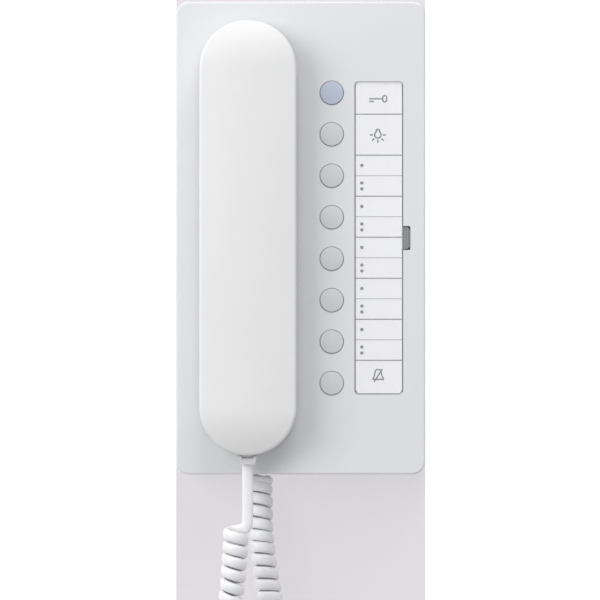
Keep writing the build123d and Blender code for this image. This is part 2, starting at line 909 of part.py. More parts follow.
def earpiece_wires():
    """Two wires from the handset's board to the back of the earpiece capsule."""
    start_z = handset_board_edge() + handset_board_length - wire_run_in
    end_z = boss_z - wire_run_in
    end_rise = boss_tip + boss_wall + gasket_thick + capsule_height
    high = handset_board_top + wire_lift
    wires = []
    for index in range(2):
        x = handset_x + wire_offset + wire_pitch * index
        route = FilletPolyline((x, -handset_board_top, start_z), (x, -high, start_z),
                               (x, -high, end_z), (x, -end_rise, end_z), radius=wire_bend)
        profile = Plane(origin=route @ 0, z_dir=route % 0) * Circle(wire_radius)
        wires.append(sweep(profile, path=route))
    return wires


def bezier_point(start, corner, end, share):
    """Point at a share of the way along a curve pulled toward one corner point."""
    return start * (1 - share) ** 2 + corner * 2 * share * (1 - share) + end * share ** 2


def coil_start():
    """Point under the handset where the cord begins to turn into its first curl."""
    return Vector(handset_cord_x, -plug_wire_rise(handset_plug_rise), coil_start_z - wire_diameter)


def coil_end():
    """Point under the housing where the last curl has turned straight up to the plug."""
    return Vector(housing_cord_x, -plug_wire_rise(housing_plug_rise), housing_plug_end - wire_diameter)


def axis_samples():
    """Points close together along the smooth axis of the curls.

    The curve is a chain of arcs, one for each inner route point, and each arc starts and ends
    midway between two route points, as a quadratic spline does.
    """
    first = coil_start() + Vector(-handset_axis_side, -handset_axis_out, 0)
    last = coil_end() + Vector(housing_axis_side, housing_axis_back, 0)
    lower_edge = Vector(0, 0, -body_height / 2)
    route = [first] + [lower_edge + Vector(*point) for point in cord_axis_points] + [last]
    joints = [first] + [(a + b) / 2 for a, b in zip(route[1:-2], route[2:-1])] + [last]
    samples = []
    for start, corner, end in zip(joints, route[1:-1], joints[1:]):
        samples += [bezier_point(start, corner, end, step / axis_steps) for step in range(axis_steps)]
    return samples + [last]


class CurlAxis:
    """Axis of the curls with its length and a frame that turns as little as it can."""

    def __init__(self, samples):
        self.points = samples
        self.along = [0.0]
        for a, b in zip(samples, samples[1:]):
            self.along.append(self.along[-1] + (b - a).length)
        self.length = self.along[-1]
        ends = zip([samples[0]] + samples[:-1], samples[1:] + [samples[-1]])
        self.tangents = [(b - a).normalized() for a, b in ends]
        side = Vector(1, 0, 0)
        self.sides = []
        for tangent in self.tangents:
            side = (side - tangent * side.dot(tangent)).normalized()
            self.sides.append(side)

    def frame(self, distance):
        """Point, side direction and third direction at a distance along the axis."""
        index = 0
        while index < len(self.along) - 2 and self.along[index + 1] < distance:
            index += 1
        share = (distance - self.along[index]) / (self.along[index + 1] - self.along[index])
        point = self.points[index] * (1 - share) + self.points[index + 1] * share
        tangent = self.tangents[index] * (1 - share) + self.tangents[index + 1] * share
        tangent = tangent.normalized()
        side = self.sides[index] * (1 - share) + self.sides[index + 1] * share
        side = (side - tangent * side.dot(tangent)).normalized()
        return point, side, tangent.cross(side)


class Curls:
    """Helix round the axis. It starts at the back and left, and ends at the front and right."""

    def __init__(self, axis):
        self.axis = axis
        self.run = axis.length - 2 * coil_drop
        point, side, third = axis.frame(axis.length)
        last_way = Vector(1, -1, 0)
        last_angle = math.atan2(last_way.dot(third), last_way.dot(side)) / (-2 * math.pi)
        whole = round(self.run / coil_pitch)
        self.first = 3 / 8
        self.last = whole + (last_angle - whole) % 1
        self.pitch = self.run / (self.last - self.first)

    def point(self, turn):
        """Point of the helix after a number of turns, counted from its right side."""
        point, side, third = self.axis.frame(coil_drop + self.pitch * (turn - self.first))
        angle = -2 * math.pi * turn
        return point + side * (coil_radius * math.cos(angle)) + third * (coil_radius * math.sin(angle))

    def tangent(self, turn):
        """Direction of the helix after a number of turns."""
        step = 1 / 1000
        return (self.point(turn + step) - self.point(turn - step)).normalized()


def biarc(start, start_way, end, end_way):
    """Two arcs that leave one point and reach another in given directions."""
    span = end - start
    ways = start_way + end_way
    turn = 2 * (1 - start_way.dot(end_way))
    reach = (math.sqrt(span.dot(ways) ** 2 + turn * span.dot(span)) - span.dot(ways)) / turn
    first = start + start_way * reach
    second = end - end_way * reach
    middle = (first + second) / 2
    middle_way = (second - first).normalized()
    return [Edge.make_tangent_arc(start, start_way, middle),
            Edge.make_tangent_arc(middle, middle_way, end)]


def cord_coil():
    """Curly stretch of the cord as one unbroken tube, from the handset's lead to the housing plug."""
    axis = CurlAxis(axis_samples())
    curls = Curls(axis)
    down = Vector(0, 0, -1)
    first, last = coil_start(), coil_end()
    stops = [curls.first]
    while stops[-1] + 3 / 4 < curls.last:
        stops.append(stops[-1] + 1 / 2)
    stops.append(curls.last)
    knots = [(first, down)] + [(curls.point(turn), curls.tangent(turn)) for turn in stops] + [(last, -down)]
    edges = [Edge.make_line(first - down * wire_diameter, first)]
    for (start, start_way), (end, end_way) in zip(knots, knots[1:]):
        edges += biarc(start, start_way, end, end_way)
    edges.append(Edge.make_line(last, last - down * wire_diameter))
    path = Wire(edges)
    profile = Plane(origin=path @ 0, z_dir=path % 0) * Circle(wire_diameter / 2)
    tube = sweep(profile, path=path)
    report_coil(axis, curls, edges, path, tube)
    return tube


def report_coil(axis, curls, edges, path, tube):
    """Prints the curly cord's sizes, its tightest arc and the least gap to itself."""
    arcs = [edge.radius for edge in edges[1:-1]]
    section = math.pi * (wire_diameter / 2) ** 2
    print("curls", round(curls.last - curls.first, 2), "pitch", round(curls.pitch, 2), "axis", round(axis.length, 1))
    print("coil wire length", round(path.length, 1), "tightest arc", round(min(arcs), 2))
    print("coil volume over section times length", round(tube.volume / (section * path.length), 5))
    points = numpy.array([tuple(edge @ (step / arc_steps)) for edge in edges[1:-1]
                          for step in range(arc_steps)])
    order = numpy.arange(len(points))
    apart = abs(order[:, None] - order) >= 3 * arc_steps
    distances = numpy.linalg.norm(points[:, None] - points, axis=2)
    print("least gap to itself", round(float(distances[apart].min()) - wire_diameter, 2))


def handset_lead():
    """Straight stretch of the cord between the handset's plug and the curls."""
    rise = plug_wire_rise(handset_plug_rise)
    length = handset_plug_end - coil_start_z
    tube = upright(handset_cord_x, rise, wire_diameter / 2, coil_start_z, handset_plug_end)
    print("handset lead length", round(length, 1), "volume share",
          round(tube.volume / (math.pi * (wire_diameter / 2) ** 2 * length), 5))
    return tube


def build_nodes():
    """Every sub-part by name."""
    form = handset_form()
    hollow = handset_hollow()
    nodes = {
        "wall_plate": wall_plate(),
        "front_cover": front_cover(),
        "cover_screw": cover_screw(),
        "circuit_board": circuit_board(),
        "board_screws": board_screws(),
        "terminal_block": terminal_block(),
        "terminal_screws": terminal_screws(),
        "ringer": ringer(),
        "control_chip": control_chip(),
        "capacitors": capacitors(),
        "key_switches": key_switches(),
        "hook_switch": hook_switch(),
        "hook_plunger": hook_plunger(),
        "label_inlay": label_inlay(),
        "label_window": label_window(),
        "label_catch": label_catch(),
        "handset_shell": handset_shell(form, hollow),
        "handset_inner_shell": handset_inner_shell(form, hollow),
        "handset_screws": handset_screws(),
        "earpiece_gasket": earpiece_gasket(),
        "earpiece_capsule": earpiece_capsule(),
        "microphone_boot": microphone_boot(),
        "microphone": microphone(),
        "handset_board": handset_board(),
        "earpiece_wires": earpiece_wires(),
        "handset_jack": jack(handset_cord_x, handset_plug_rise, handset_shoulder),
        "handset_plug": modular_plug(handset_cord_x, handset_plug_rise, handset_shoulder),
        "housing_jack": jack(housing_cord_x, housing_plug_rise, housing_shoulder),
        "housing_plug": modular_plug(housing_cord_x, housing_plug_rise, housing_shoulder),
        "handset_lead": handset_lead(),
        "cord_coil": cord_coil(),
    }
    for index, name in enumerate(button_names):
        nodes[name + "_button"] = button(index)
        nodes[name + "_key_plunger"] = key_plunger(index)
    return nodes


def main():
    """Writes one STEP file for each sub-part."""
    os.makedirs("parts", exist_ok=True)
    for name, shape in build_nodes().items():
        if isinstance(shape, (list, ShapeList)):
            shape = Compound(children=list(shape))
        export_step(shape, "parts/" + name + ".step")


main()
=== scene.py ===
# Looks of a house intercom station: housing with eight buttons, lift-off handset and curly cord.
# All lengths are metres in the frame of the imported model: X right, Z up, and -Y out from the wall.
import json
import math

import bpy
import numpy as np
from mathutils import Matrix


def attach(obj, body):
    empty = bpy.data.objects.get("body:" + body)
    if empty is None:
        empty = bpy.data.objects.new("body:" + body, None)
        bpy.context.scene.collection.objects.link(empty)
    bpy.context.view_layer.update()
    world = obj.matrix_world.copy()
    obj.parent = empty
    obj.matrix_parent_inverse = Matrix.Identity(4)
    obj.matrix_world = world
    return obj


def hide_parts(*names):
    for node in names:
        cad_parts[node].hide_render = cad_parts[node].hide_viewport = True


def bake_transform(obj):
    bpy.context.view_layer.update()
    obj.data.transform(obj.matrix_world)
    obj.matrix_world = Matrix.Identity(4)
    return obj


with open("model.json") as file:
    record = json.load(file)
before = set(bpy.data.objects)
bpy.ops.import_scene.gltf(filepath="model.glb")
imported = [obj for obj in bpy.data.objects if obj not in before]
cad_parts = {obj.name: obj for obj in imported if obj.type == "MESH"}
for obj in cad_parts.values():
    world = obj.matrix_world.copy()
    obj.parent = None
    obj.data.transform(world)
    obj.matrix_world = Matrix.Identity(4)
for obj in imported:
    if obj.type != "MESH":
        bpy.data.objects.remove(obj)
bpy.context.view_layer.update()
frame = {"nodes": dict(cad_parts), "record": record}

MM = 0.001
SHARP_ANGLE = math.radians(40)

# Small helpers


def srgb(code):
    """Linear opaque colour of an sRGB hex code."""
    parts = np.array([int(code[i:i + 2], 16) / 255 for i in (1, 3, 5)])
    linear = np.where(parts <= 0.04045, parts / 12.92, ((parts + 0.055) / 1.055) ** 2.4)
    return (*linear.tolist(), 1.0)


def add(tree, kind, links=(), **settings):
    """Adds a node, sets its properties, and sets or links its sockets from (name, value) pairs."""
    made = tree.nodes.new(kind)
    for name, value in settings.items():
        setattr(made, name, value)
    for name, value in links:
        if isinstance(value, bpy.types.NodeSocket):
            tree.links.new(value, made.inputs[name])
        else:
            made.inputs[name].default_value = value
    return made


def unit(rows):
    """Each row scaled to length one."""
    return rows / np.linalg.norm(rows, axis=-1, keepdims=True)


def lofted(rings):
    """Closed skin over a stack of rings, an array of ring x point x 3, with a face at each end.

    Point j of ring i joins its neighbours j + 1 and i + 1, counted round the ring.
    """
    count, around = rings.shape[:2]
    i, j = np.meshgrid(np.arange(count - 1), np.arange(around), indexing="ij")
    k = (j + 1) % around
    quads = np.stack([i * around + j, i * around + k, (i + 1) * around + k, (i + 1) * around + j], -1)
    faces = quads.reshape(-1, 4).tolist()
    faces.append(list(range(around))[::-1])
    faces.append(list(range((count - 1) * around, count * around)))
    return rings.reshape(-1, 3), faces


def piece(name, parts, smooth=True):
    """One object from several (points, faces) parts, with normals out and sharp edges kept."""
    points, faces, offset = [], [], 0
    for part_points, part_faces in parts:
        points.append(part_points)
        faces += [[index + offset for index in face] for face in part_faces]
        offset += len(part_points)
    mesh = bpy.data.meshes.new(name)
    mesh.from_pydata(np.concatenate(points).tolist(), [], faces)
    mesh.update()
    if smooth:
        mesh.shade_smooth()
        mesh.set_sharp_from_angle(angle=SHARP_ANGLE)
    made = bpy.data.objects.new(name, mesh)
    bpy.context.scene.collection.objects.link(made)
    return made


def spline_points(control, resolution):
    """Points of a clamped NURBS spline of order 3 over control points, as Blender works it out."""
    data = bpy.data.curves.new("route", "CURVE")
    data.dimensions = "3D"
    spline = data.splines.new("NURBS")
    spline.points.add(len(control) - 1)
    spline.points.foreach_set("co", np.column_stack([control, np.ones(len(control))]).ravel())
    spline.order_u = 3
    spline.use_endpoint_u = True
    spline.resolution_u = resolution
    holder = bpy.data.objects.new("route", data)
    bpy.context.scene.collection.objects.link(holder)
    mesh = bpy.data.meshes.new_from_object(holder)
    line = np.zeros(len(mesh.vertices) * 3)
    mesh.vertices.foreach_get("co", line)
    bpy.data.objects.remove(holder)
    bpy.data.curves.remove(data)
    bpy.data.meshes.remove(mesh)
    return line.reshape(-1, 3)


def along(line):
    """Distance along a line of points to each of them."""
    return np.concatenate([[0], np.cumsum(np.linalg.norm(np.diff(line, axis=0), axis=1))])


def at(distance, table, values):
    """Rows of values at given distances along a table of distances."""
    return np.stack([np.interp(distance, table, column) for column in values.T], -1)


def carried(line, wide, section):
    """Rings of a section carried along a line: its first axis lies along wide, made square to the
    line, and its second along the line's direction crossed with that."""
    way = unit(np.gradient(line, axis=0))
    wide = unit(wide - way * np.sum(wide * way, -1, keepdims=True))
    flat = np.cross(way, wide)
    return line[:, None] + wide[:, None] * section[:, :1] + flat[:, None] * section[:, 1:]


# Camera

# Width that the picture takes in at the housing's front, and the point there that it centres on.
VIEW_WIDTH = 0.2550
VIEW_CENTRE = (-0.0003, -0.027, -0.02635)
CAMERA_DISTANCE = 2.4
camera_data = bpy.data.cameras.new("camera")
camera_data.sensor_width = 36
camera_data.lens = camera_data.sensor_width * CAMERA_DISTANCE / VIEW_WIDTH
camera_data.clip_end = 20
camera = bpy.data.objects.new("camera", camera_data)
camera.location = (VIEW_CENTRE[0], VIEW_CENTRE[1] - CAMERA_DISTANCE, VIEW_CENTRE[2])
camera.rotation_euler = (math.pi / 2, 0, 0)
bpy.context.scene.collection.objects.link(camera)
bpy.context.scene.camera = camera

# Cord

# Route of the curls' axis, from the middle of the housing's lower edge at the wall: down the
# handset's leg, round the loop and up again to the housing.
AXIS_POINTS = np.array([
    (-27.8, -38.8, -35.5), (-29.5, -36.6, -52.5), (-31.3, -32.4, -69.5), (-33.8, -27.2, -88.5),
    (-36.0, -22.0, -108.5), (-36.2, -17.8, -128.5), (-28.6, -14.8, -145.5), (-13.4, -12.6, -149.5),
    (0.4, -13.4, -139.0), (2.6, -14.6, -119.5), (-1.6, -15.2, -99.5), (-6.6, -15.0, -79.5),
    (-11.9, -13.8, -59.5), (-15.6, -11.6, -39.5), (-17.3, -9.0, -21.5)]) * MM
LOWER_EDGE = np.array([0, 0, -0.1005])
# Both ends of that axis, where the first curl starts and the last one stops.
AXIS_START = np.array([-27.35, -38.8, -122.6]) * MM
AXIS_STOP = np.array([-17.4, -7.0, -103.7]) * MM
# The straight lead from the handset's plug, the bend below it, and the last curl's way into the
# housing's plug. The lead's points are shares of its length; the first one lies in the plug.
LEAD_TOP = np.array([-22.5, -35.1, -95.9]) * MM
LEAD_FOOT = np.array([-22.5, -35.1, -119.6]) * MM
LEAD_SHARES = np.array([-0.08, 0, 0.2, 0.45, 0.7, 0.9, 1.0])
BEND_POINTS = np.array([(-22.75, -35.1, -122.0), (-23.95, -35.0, -123.25)]) * MM
TAIL_POINTS = np.array([
    (-14.5, -9.9, -103.3), (-17.2, -11.0, -102.8), (-19.9, -10.5, -102.2),
    (-21.1, -8.8, -100.9), (-21.0, -8.1, -98.8), (-21.0, -8.1, -96.6)]) * MM
CORD_WIDTH = 0.0047
CORD_THICK = 0.0029
COIL_RADIUS = 0.00395
COIL_PITCH = 0.0053
POINTS_PER_TURN = 12
AXIS_STEPS = 24
LINE_STEPS = 3
# The lead meets the helix a little after its start. Its last turns draw together by a tuck, the
# last half turn narrows by a share, and the cord turns its edge forward at the very end.
FIRST_TURN = 0.2
TUCKED_TURNS = 0.75
COIL_TUCK = 0.0029
NARROW_TURNS = 0.5
NARROW_SHARE = 0.14
TWIST_TURNS = 0.3
# Worn curls are uneven: each wave has a share of the radius, radians to a turn and a phase, and
# the sway along the axis has a length, radians to a turn, a phase and turns to grow to its full.
RADIUS_WAVES = ((0.02, 0.83, 0), (0.012, 2.1, 1))
SWAY_LENGTH, SWAY_RATE, SWAY_PHASE, SWAY_GROWTH = 0.00018, 1.27, 0.6, 3


def cord_route():
    """Centre line of the whole cord and the direction of its width at each point.

    A helix round the route's spline: a point a distance s along it stands off by the coil's radius
    at an angle of minus 2 pi times the turns, between the axis's side and its outward direction.
    More points of the same spline make the straight lead, which bends in its own plane to the back
    of the first curl, and the last curl's way into the housing's socket, edge forward.
    """
    across, edge, down = np.array([1.0, 0, 0]), np.array([0, -1.0, 0]), np.array([0, 0, -1.0])
    axis = spline_points(np.vstack([AXIS_START, LOWER_EDGE + AXIS_POINTS, AXIS_STOP]), AXIS_STEPS)
    reach = along(axis)
    way = unit(np.gradient(axis, axis=0))
    outward = unit(edge - way * (way @ edge)[:, None])
    side = np.cross(outward, way)
    turns = round(reach[-1] / COIL_PITCH) + 0.5
    turn = np.linspace(FIRST_TURN, turns, round((turns - FIRST_TURN) * POINTS_PER_TURN) + 1)
    distance = np.interp(turn, [0, turns - TUCKED_TURNS, turns], [0, reach[-1] - COIL_TUCK, reach[-1]])
    # A spline through points on a circle lies inside it by the cosine of half their spacing.
    swing = COIL_RADIUS / math.cos(math.pi / POINTS_PER_TURN)
    swing = swing * (1 + sum(share * np.sin(rate * turn + phase) for share, rate, phase in RADIUS_WAVES))
    swing = swing * (1 - NARROW_SHARE * np.clip((turn - turns) / NARROW_TURNS + 1, 0, 1))
    sway = SWAY_LENGTH * np.sin(SWAY_RATE * turn + SWAY_PHASE) * np.clip(turn / SWAY_GROWTH, 0, 1)
    angle = -2 * np.pi * turn
    centre = at(distance + sway, reach, axis)
    helix = centre + at(distance, reach, side) * (swing * np.cos(angle))[:, None]
    helix += at(distance, reach, outward) * (swing * np.sin(angle))[:, None]
    lead = LEAD_TOP + (LEAD_FOOT - LEAD_TOP) * LEAD_SHARES[:, None]
    control = np.vstack([lead, BEND_POINTS, helix, TAIL_POINTS])
    twist = np.clip((turn - turns) / TWIST_TURNS + 1, 0, 1)[:, None]
    lead_wide = np.tile(across, (len(lead), 1))
    bend_wide = [across * 0.9 + down * 0.4, across * 0.35 + down]
    helix_wide = at(distance, reach, way) * (1 - twist) + edge * twist
    tail_wide = [edge, edge, edge * 0.8 - across * 0.4, edge * 0.3 - across, -across, -across]
    wide = np.vstack([lead_wide, bend_wide, helix_wide, tail_wide])
    line = spline_points(control, LINE_STEPS)
    # A spline of order 3 over n points has n - 2 spans, and point i acts most at span i - 1/2.
    spans = len(control) - 2
    acts = np.clip(np.arange(len(control)) - 0.5, 0, spans)
    return line, at(np.linspace(0, spans, len(line)), acts, wide)


def bent(values, power):
    """A cosine or sine raised to two over a power, with its sign: what a superellipse takes."""
    return np.sign(values) * np.abs(values) ** (2 / power)


def flat_section(width, thick, count=16, power=2.4):
    """Flat oval: a superellipse, a little boxier than an ellipse."""
    angle = np.arange(count) * 2 * np.pi / count
    return np.column_stack([bent(np.cos(angle), power) * width / 2, bent(np.sin(angle), power) * thick / 2])


cord_line, cord_wide = cord_route()
seam = int(np.argmin(cord_line[:, 2]))
section = flat_section(CORD_WIDTH, CORD_THICK)
rings = carried(cord_line, cord_wide, section)
handset_leg = piece("cord_handset_leg", [lofted(rings[:seam + 1])])
housing_leg = piece("cord_housing_leg", [lofted(rings[seam:])])
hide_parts("handset_lead", "cord_coil")
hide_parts("cord_coil")
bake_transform(handset_leg)
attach(housing_leg, "housing")

# Label window, print and painted shade

# Rises in front of the wall, and the ink's rises above what it is printed on.
LABEL_FLOOR = 0.026
PAPER_TOP = LABEL_FLOOR + 0.25 * MM
WINDOW_BACK = PAPER_TOP + 0.12 * MM
WINDOW_SIDE = PAPER_TOP + 0.22 * MM
WINDOW_FRONT = 0.0269
INK_BACK = 0.01 * MM
INK_FRONT = 0.05 * MM
# The window seen from the front, its front edge's radius and how far its back edge draws in.
WINDOW_X = 0.0332
WINDOW_WIDTH = 0.01985
WINDOW_HEIGHT = 0.133
WINDOW_CORNER = 0.0016
WINDOW_EDGE = 0.3 * MM
WINDOW_BACK_INSET = 0.1 * MM
# Rows of the paper, the middle row line's height, and how far lines reach from the window's middle; the gap
# lines and the lower end's line are painted shade.
ROW = 0.01744
MIDDLE = 0.00034
LINE_REACH = 0.0098
GAP_REACH = 0.01013
GAP_HALF_HEIGHT = 0.0655
LINE_WIDTH = 0.42 * MM
THIN_WIDTH = 0.36 * MM
LOWER_SHADE_WIDTH = 0.4 * MM
DOT_X = 0.026
DOT_RADIUS = 0.74 * MM
PAIR_RADIUS = 0.72 * MM
PAIR_APART = 1.25 * MM
# Black sheet of painted shade on the floor of the window catch's pocket.
SHADE_SHEET_X = 0.0448
SHADE_SHEET_SIZE = (0.0032, 0.0098)
SHADE_SHEET_CORNER = 0.0006
SHADE_SHEET_RISES = (0.02383, 0.02388)


def rounded_outline(x, z, width, height, corner, count=8):
    """Points round a rounded rectangle, count steps in each corner's quarter circle."""
    angle = np.linspace(0, np.pi / 2, count + 1)
    turns = np.concatenate([angle + quarter * np.pi / 2 for quarter in range(4)])
    signs = np.repeat([(1, 1), (-1, 1), (-1, -1), (1, -1)], count + 1, axis=0)
    centre = np.array([width / 2 - corner, height / 2 - corner]) * signs
    return np.column_stack([x + centre[:, 0] + corner * np.cos(turns),
                            z + centre[:, 1] + corner * np.sin(turns)])


def stacked(outlines, rises):
    """Rings from outlines in X and Z, each as far in front of the wall as its rise."""
    return np.stack([np.column_stack([o[:, 0], np.full(len(o), -rise), o[:, 1]])
                     for o, rise in zip(outlines, rises)])


def window_rings():
    """Clear strip with a quarter-round front edge, given by insets and rises of its outline."""
    angle = np.linspace(0, np.pi / 2, 6)
    insets = np.concatenate([[WINDOW_BACK_INSET, 0], WINDOW_EDGE * (1 - np.cos(angle))])
    rises = np.concatenate([[WINDOW_BACK, WINDOW_SIDE],
                            WINDOW_FRONT - WINDOW_EDGE + WINDOW_EDGE * np.sin(angle)])
    outlines = [rounded_outline(WINDOW_X, 0, WINDOW_WIDTH - 2 * inset, WINDOW_HEIGHT - 2 * inset,
                                WINDOW_CORNER - inset) for inset in insets]
    return stacked(outlines, rises)


def stroke(points, width, base=PAPER_TOP):
    """Printed line on a base: a flat rectangle carried along points in X and Z, square to its run."""
    middle = base + (INK_BACK + INK_FRONT) / 2
    line = np.column_stack([points[:, 0], np.full(len(points), -middle), points[:, 1]])
    way = unit(np.gradient(line, axis=0))
    across = np.cross(way, [0, 1.0, 0])
    box = np.array([(-1, -1), (1, -1), (1, 1), (-1, 1)]) / 2 * [width, INK_FRONT - INK_BACK]
    return lofted(carried(line, across, box))


def row_line(z, width):
    """Printed line right across the paper at a height."""
    return stroke(np.array([(WINDOW_X - LINE_REACH, z), (WINDOW_X + LINE_REACH, z)]), width)


def dot(z, radius):
    """Printed dot in the dots' column: two circles, one above the other."""
    angle = np.arange(24) * 2 * np.pi / 24
    ring = np.column_stack([DOT_X + radius * np.cos(angle), z + radius * np.sin(angle)])
    return lofted(stacked([ring, ring], [PAPER_TOP + INK_BACK, PAPER_TOP + INK_FRONT]))


def polyline(*points):
    """Points in X and Z given in millimetres."""
    return np.array(points, float) * MM


def marks(width, *lines):
    """Printed lines of one width through points, all of them in millimetres."""
    return [stroke(polyline(*line), width * MM) for line in lines]


def oval(x, z, half_width, half_height, start=0, stop=360, power=2.0):
    """Oval arc in millimetres, from one angle to another; a power above 2 makes it boxier."""
    angle = np.radians(np.linspace(start, stop, 40))
    return np.column_stack([x + half_width * bent(np.cos(angle), power),
                            z + half_height * bent(np.sin(angle), power)]) * MM


window = piece("label_cover", [lofted(window_rings())])
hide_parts("label_window")
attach(window, "label_window")

row_lines = [row_line(z, LINE_WIDTH) for z in MIDDLE + ROW * np.arange(-3, 4)]
half_lines = [row_line(z, THIN_WIDTH) for z in MIDDLE + ROW * np.arange(-2.5, 2)]
# Painted shade: dark lines on the floor of the window's seat, for the shadow in the gaps beside the paper.
gap_shade_lines = [stroke(np.array([(x, -GAP_HALF_HEIGHT), (x, GAP_HALF_HEIGHT)]), THIN_WIDTH, LABEL_FLOOR)
             for x in (WINDOW_X - GAP_REACH, WINDOW_X + GAP_REACH)]
# Painted shade: dark line round the lower end of the strip, for the shadow in the gap where the window's edge
# turns down.
lower_end = np.vstack([oval(24.9, -64.8, 1.4, 1.4, 180, 270), oval(41.5, -64.8, 1.4, 1.4, 270, 360)])
lower_gap_shade = [stroke(lower_end, LOWER_SHADE_WIDTH)]

# Each of five rows has one dot in its upper half and a pair in its lower half.
dots = []
for row in range(5):
    top = MIDDLE + ROW * (2 - row)
    dots.append(dot(top - ROW / 4, DOT_RADIUS))
    dots += [dot(top - ROW * 3 / 4 + side * PAIR_APART, PAIR_RADIUS) for side in (-1, 1)]

# Symbols, in millimetres.
key = marks(0.6, [(29.1, 59.2), (34.8, 59.2)], [(29.1, 58.05), (31.1, 58.05)])
key.append(stroke(oval(35.7, 59.2, 0.85, 1.35, power=2.6), 0.6 * MM))
bulb = [stroke(oval(32.8, 43.85, 1.35, 1.35, -235, 55), 0.62 * MM)]
bulb += marks(0.62, [(32.05, 44.9), (32.15, 46.1)], [(33.55, 44.9), (33.45, 46.1)])
bulb += marks(0.6, [(32.0, 46.1), (33.6, 46.1)])
rays = marks(0.62, [(29.4, 43.8), (30.7, 43.8)], [(34.9, 43.8), (36.2, 43.8)], [(30.3, 41.4), (31.3, 42.3)],
             [(35.3, 41.4), (34.3, 42.3)], [(32.8, 40.5), (32.8, 41.8)])
bell_shape = np.vstack([polyline((30.7, -60.0), (31.25, -58.7), (31.55, -57.3)),
                        oval(32.9, -57.0, 1.25, 1.15, 170, 10),
                        polyline((34.25, -57.3), (34.6, -58.7), (35.2, -60.0))])
bell = [stroke(bell_shape, 0.56 * MM)]
bell += marks(0.6, [(30.5, -60.1), (35.4, -60.1)]) + marks(0.56, [(34.75, -55.6), (31.2, -61.2)])


def pocket_shade_sheet():
    """Black sheet of painted shade on the floor of the catch's pocket: a rounded rectangle, thin and black.
    """
    outline = rounded_outline(SHADE_SHEET_X, 0, *SHADE_SHEET_SIZE, SHADE_SHEET_CORNER)
    return lofted(stacked([outline, outline], SHADE_SHEET_RISES))


# Print, with painted shade among it: the gap lines and the lower end's line in the rules, and the black sheet
# in the catch's pocket.
prints = {"label_rules_and_gap_shade": (row_lines + gap_shade_lines + lower_gap_shade, "label_paper"),
          "catch_pocket_shade": ([pocket_shade_sheet()], "part_black"),
          "label_half_rules": (half_lines, "label_paper"),
          "label_symbols": (dots + key + bulb + rays + bell, "label_paper")}
for name, (parts, slot) in prints.items():
    made = piece(name, parts, smooth=False)
    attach(made, "housing")

# Materials


def material(name):
    """New material, its node tree, its shader and its object coordinates."""
    made = bpy.data.materials.new(name)
    made.use_nodes = True
    tree = made.node_tree
    shader = tree.nodes["Principled BSDF"]
    place = add(tree, "ShaderNodeTexCoord").outputs["Object"]
    return made, tree, shader, place


def shade(shader, **values):
    """Sets sockets of a shader by name, with underscores for spaces."""
    for name, value in values.items():
        shader.inputs[name.replace("_", " ")].default_value = value


# Most of a noise lies between these values.
NOISE_LOW, NOISE_HIGH = 0.3, 0.7


def noise(tree, place, size, detail):
    """Noise in cells of a size in millimetres."""
    made = add(tree, "ShaderNodeTexNoise", [("Vector", place), ("Scale", 1 / (size * MM)),
                                            ("Detail", detail)])
    return made.outputs["Fac"]


def mottled(tree, place, size, low, high):
    """Colour that wanders between two hex codes in cells of a size in millimetres."""
    ramp = add(tree, "ShaderNodeValToRGB", [("Fac", noise(tree, place, size, 2))])
    for stop, position, code in zip(ramp.color_ramp.elements, (NOISE_LOW, NOISE_HIGH), (low, high)):
        stop.position, stop.color = position, srgb(code)
    return ramp.outputs["Color"]


def textured(tree, shader, place, size, depth):
    """Bump of noise in cells of a size in millimetres and a depth in millimetres."""
    bump = add(tree, "ShaderNodeBump", [("Height", noise(tree, place, size, 3)), ("Strength", 1.0),
                                        ("Distance", depth * MM)])
    tree.links.new(bump.outputs["Normal"], shader.inputs["Normal"])


def rough_range(tree, shader, place, size, low, high):
    """Roughness that wanders between two values in cells of a size in millimetres."""
    spread = add(tree, "ShaderNodeMapRange", [("Value", noise(tree, place, size, 2)), ("From Min", NOISE_LOW),
                                              ("From Max", NOISE_HIGH), ("To Min", low), ("To Max", high)])
    tree.links.new(spread.outputs["Result"], shader.inputs["Roughness"])


# Cells of the wandering colour and roughness, in millimetres, and how far the roughness wanders.
COLOUR_CELL, ROUGH_CELL, ROUGH_SPREAD = 30, 6, 0.04


def finished(name, low, high, rough, size, depth, **more):
    """Surface between two near colours, with a mean roughness and a grain's size and depth."""
    made, tree, shader, place = material(name)
    tree.links.new(mottled(tree, place, COLOUR_CELL, low, high), shader.inputs["Base Color"])
    rough_range(tree, shader, place, ROUGH_CELL, rough - ROUGH_SPREAD, rough + ROUGH_SPREAD)
    textured(tree, shader, place, size, depth)
    shade(shader, **more)
    return made


def moulded(*facts, ior=1.53):
    """Moulded or extruded plastic, or a coat of it."""
    return finished(*facts, IOR=ior)


def metal(*facts):
    """Bare metal."""
    return finished(*facts, Metallic=1.0)


